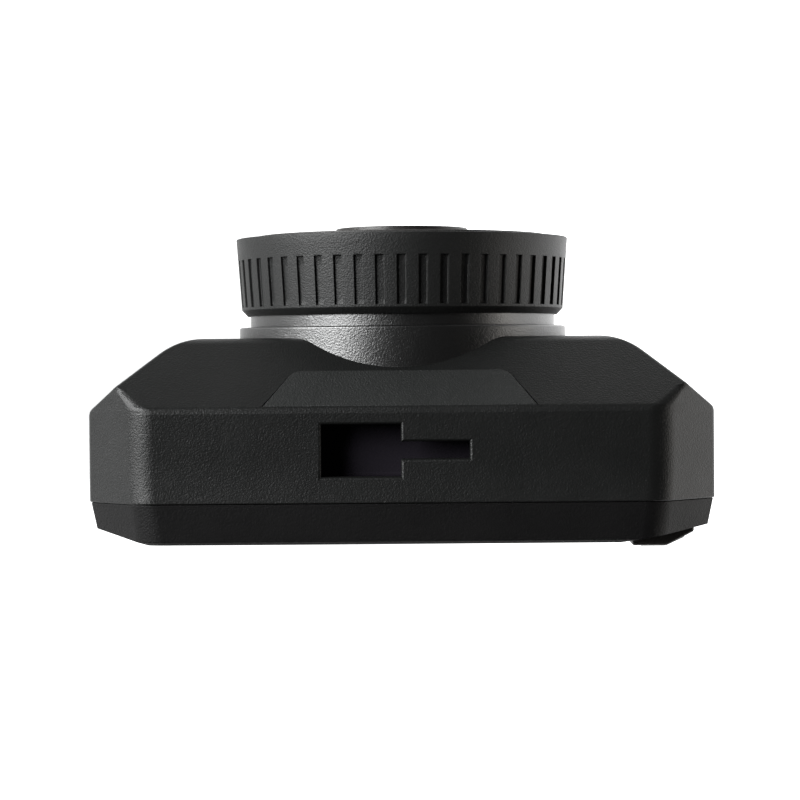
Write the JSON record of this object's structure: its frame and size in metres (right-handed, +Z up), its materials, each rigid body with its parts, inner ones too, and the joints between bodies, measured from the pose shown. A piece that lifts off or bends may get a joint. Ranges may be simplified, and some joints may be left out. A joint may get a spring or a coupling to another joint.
{
  "type": "dash camera",
  "caption": "In-car recording camera: eight-sided body with knurled lens ring, T-slot for a windscreen bracket and a small screen with push keys behind.",
  "frame": {"origin": "centre of the overall box, at the level of the flat underside", "axes": "+Z up, lens faces -Y, screen faces +Y, +X to the right seen from the front"},
  "size_m": [0.08, 0.042, 0.055],
  "materials": {
    "shell_plastic": "fine spark-eroded texture",
    "cover_plastic": "fine spark-eroded texture",
    "pocket_plastic": "smooth moulded",
    "pad_plastic": "smooth satin",
    "neck_plastic": "satin",
    "ring_plastic": "satin",
    "plate_plastic": "satin",
    "bezel_plastic": "gloss",
    "cover_glass": "polished",
    "barrel_metal": "black anodised",
    "lens_glass": "coated and polished",
    "holder_plastic": "matt",
    "sensor_chip": "polished",
    "circuit_board": "solder mask",
    "connector_plastic": "moulded",
    "chip_black": "moulded epoxy",
    "battery_foil": "foil pouch",
    "speaker_metal": "stamped",
    "socket_steel": "tin plated",
    "window_acrylic": "polished",
    "screen_glass": "polished",
    "backlight_plastic": "satin",
    "ribbon_film": "polyimide film",
    "strip_plastic": "smooth moulded",
    "key_plastic": "satin",
    "screw_steel": "black zinc plated"
  },
  "bodies": {
    "camera_body": {"front_shell": "shell_plastic", "rear_cover": "cover_plastic", "bracket_pocket": "pocket_plastic", "slope_pad": "pad_plastic", "lens_neck": "neck_plastic", "lens_front_plate": "plate_plastic", "lens_bezel": "bezel_plastic", "lens_cover_glass": "cover_glass", "lens_barrel": "barrel_metal", "front_lens_element": "lens_glass", "rear_lens_element": "lens_glass", "lens_holder": "holder_plastic", "image_sensor": "sensor_chip", "sensor_board": "circuit_board", "board_connector": "connector_plastic", "main_board": "circuit_board", "processor_chip": "chip_black", "memory_chip": "chip_black", "power_coil": "chip_black", "battery": "battery_foil", "speaker": "speaker_metal", "microphone": "speaker_metal", "usb_socket": "socket_steel", "card_socket": "socket_steel", "display_window": "window_acrylic", "screen_frame": "socket_steel", "screen_panel": "screen_glass", "screen_backlight": "backlight_plastic", "screen_connector": "connector_plastic", "screen_ribbon": "ribbon_film", "key_strip": "strip_plastic", "power_switch": "chip_black", "menu_switch": "chip_black", "up_switch": "chip_black", "down_switch": "chip_black", "record_switch": "chip_black", "case_screw_lower_left": "screw_steel", "case_screw_upper_left": "screw_steel", "case_screw_lower_right": "screw_steel", "case_screw_upper_right": "screw_steel"},
    "knurled_ring": {"lens_ring": "ring_plastic"},
    "power_push_key": {"power_key": "key_plastic"},
    "menu_push_key": {"menu_key": "key_plastic"},
    "up_push_key": {"up_key": "key_plastic"},
    "down_push_key": {"down_key": "key_plastic"},
    "record_push_key": {"record_key": "key_plastic"}
  },
  "joints": [
    {"name": "lens_ring_turn", "type": "hinge", "parent": "camera_body", "child": "knurled_ring", "pos_m": [0, -0.014, 0.0275], "axis": [0, -1, 0], "range_deg": [-30, 30]},
    {"name": "power_key_press", "type": "slide", "parent": "camera_body", "child": "power_push_key", "axis": [0, -1, 0], "range_m": [0, 0.0004], "stiffness_N_per_m": 400},
    {"name": "menu_key_press", "type": "slide", "parent": "camera_body", "child": "menu_push_key", "axis": [0, -1, 0], "range_m": [0, 0.0004], "stiffness_N_per_m": 400},
    {"name": "up_key_press", "type": "slide", "parent": "camera_body", "child": "up_push_key", "axis": [0, -1, 0], "range_m": [0, 0.0004], "stiffness_N_per_m": 400},
    {"name": "down_key_press", "type": "slide", "parent": "camera_body", "child": "down_push_key", "axis": [0, -1, 0], "range_m": [0, 0.0004], "stiffness_N_per_m": 400},
    {"name": "record_key_press", "type": "slide", "parent": "camera_body", "child": "record_push_key", "axis": [0, -1, 0], "range_m": [0, 0.0004], "stiffness_N_per_m": 400}
  ]
}
